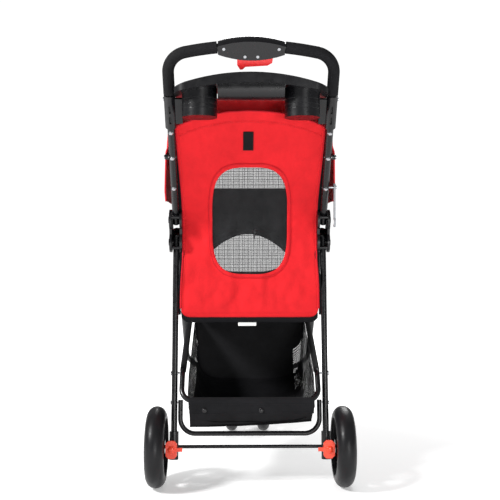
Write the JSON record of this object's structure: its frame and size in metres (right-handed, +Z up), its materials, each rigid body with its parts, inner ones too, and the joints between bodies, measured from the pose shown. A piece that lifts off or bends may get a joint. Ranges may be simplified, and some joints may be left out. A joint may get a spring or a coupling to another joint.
{
  "type": "pet stroller",
  "caption": "Three-wheel folding pet stroller with a hooded mesh cabin, parent tray, under basket, swivel front wheels and foot brakes.",
  "frame": {"origin": "on the floor, under the middle of the stroller's bounding box", "axes": "+Z up, +Y the way it rolls forward, +X to the walker's right"},
  "size_m": [0.465, 0.8321, 0.9709],
  "materials": {
    "black_tube": "satin black powder coat",
    "black_plastic": "satin moulded black",
    "gloss_black": "gloss moulded black",
    "red_plastic": "gloss moulded red",
    "grey_plastic": "moulded grey",
    "foam": "closed-cell foam",
    "tyre": "smooth moulded tyre",
    "steel": "bright zinc plate",
    "red_fabric": "plain woven polyester",
    "black_fabric": "plain woven polyester",
    "black_mesh": "knitted mesh",
    "hook_loop": "hook and loop tape",
    "label": "blank woven label"
  },
  "bodies": {
    "front_frame": {"front_tube": "black_tube", "front_hub": "black_plastic", "bracket_left": "black_plastic", "bracket_right": "black_plastic", "pivot_pins": "black_plastic", "cabin_tub": "black_fabric", "floor_board": "grey_plastic", "floor_pad": "black_fabric", "side_panel_left": "black_fabric", "side_panel_right": "black_fabric", "front_panel": "black_fabric", "rear_panel": "red_fabric", "rear_window": "black_mesh", "panel_patch": "hook_loop", "blank_label": "label", "basket_bar": "black_tube", "basket_bolts": "steel", "basket": "black_mesh"},
    "handle": {"handle_tube": "black_tube", "foam_grip_left": "foam", "foam_grip_right": "foam", "housing_rear": "gloss_black", "housing_front": "gloss_black", "housing_screws": "steel", "parent_tray": "black_plastic", "tray_bracket_left": "black_plastic", "tray_bracket_right": "black_plastic", "tray_screws": "steel", "frame_rivets": "steel", "canopy": "red_fabric", "bow_pins": "steel"},
    "trigger": {"fold_trigger": "red_plastic"},
    "hood": {"hood_bow": "black_tube"},
    "hook": {"storage_hook": "grey_plastic"},
    "rear_legs": {"rear_leg_left": "black_tube", "rear_leg_right": "black_tube", "rear_socket_left": "black_plastic", "rear_socket_right": "black_plastic", "rear_brace": "black_tube", "brace_rivets": "steel", "rear_axle": "black_tube", "basket_stubs": "steel", "brake_pins": "steel"},
    "brake_left": {"brake_pedal_left": "red_plastic"},
    "brake_right": {"brake_pedal_right": "red_plastic"},
    "rear_wheel_left": {"rear_tyre_left": "tyre", "rear_rim_left": "black_plastic"},
    "rear_wheel_right": {"rear_tyre_right": "tyre", "rear_rim_right": "black_plastic"},
    "caster": {"caster_body": "black_plastic", "front_axle": "steel"},
    "front_wheel_left": {"front_tyre_left": "tyre", "front_rim_left": "black_plastic"},
    "front_wheel_right": {"front_tyre_right": "tyre", "front_rim_right": "black_plastic"}
  },
  "joints": [
    {"name": "handle_fold", "type": "hinge", "parent": "front_frame", "child": "handle", "pos_m": [0, -0.1465, 0.604], "axis": [-1, 0, 0], "range_deg": [0, 138], "deforming": ["side_panel_left", "side_panel_right", "front_panel", "rear_panel", "rear_window", "panel_patch", "canopy"]},
    {"name": "rear_leg_fold", "type": "hinge", "parent": "front_frame", "child": "rear_legs", "pos_m": [0, -0.1385, 0.552], "axis": [1, 0, 0], "range_deg": [0, 50]},
    {"name": "hood_bow_fold", "type": "hinge", "parent": "handle", "child": "hood", "pos_m": [0, -0.24531, 0.741], "axis": [1, 0, 0], "range_deg": [0, 104]},
    {"name": "hook_swing", "type": "hinge", "parent": "handle", "child": "hook", "pos_m": [0.1925, -0.19915, 0.677], "axis": [1, 0, 0], "range_deg": [-40, 40]},
    {"name": "trigger_squeeze", "type": "slide", "parent": "handle", "child": "trigger", "axis": [0, -0.585, 0.8111], "range_m": [0, 0.005], "stiffness_N_per_m": 600, "springref_m": -0.004},
    {"name": "brake_left_press", "type": "hinge", "parent": "rear_legs", "child": "brake_left", "pos_m": [-0.172, -0.23, 0.092], "axis": [1, 0, 0], "range_deg": [0, 12]},
    {"name": "brake_right_press", "type": "hinge", "parent": "rear_legs", "child": "brake_right", "pos_m": [0.172, -0.23, 0.092], "axis": [1, 0, 0], "range_deg": [0, 12]},
    {"name": "rear_wheel_left_spin", "type": "hinge", "parent": "rear_legs", "child": "rear_wheel_left", "pos_m": [-0.211, -0.21, 0.09], "axis": [1, 0, 0], "continuous": true},
    {"name": "rear_wheel_right_spin", "type": "hinge", "parent": "rear_legs", "child": "rear_wheel_right", "pos_m": [0.211, -0.21, 0.09], "axis": [1, 0, 0], "continuous": true},
    {"name": "caster_swivel", "type": "hinge", "parent": "front_frame", "child": "caster", "pos_m": [0, 0.368, 0.18], "axis": [0, 0, 1], "continuous": true},
    {"name": "front_wheel_left_spin", "type": "hinge", "parent": "caster", "child": "front_wheel_left", "pos_m": [-0.046, 0.341, 0.075], "axis": [1, 0, 0], "continuous": true},
    {"name": "front_wheel_right_spin", "type": "hinge", "parent": "caster", "child": "front_wheel_right", "pos_m": [0.046, 0.341, 0.075], "axis": [1, 0, 0], "continuous": true}
  ],
  "couplings": [
    {"joint": "rear_leg_fold", "follows": "handle_fold", "ratio": 0.3623},
    {"joint": "hood_bow_fold", "follows": "handle_fold", "ratio": 0.75}
  ]
}
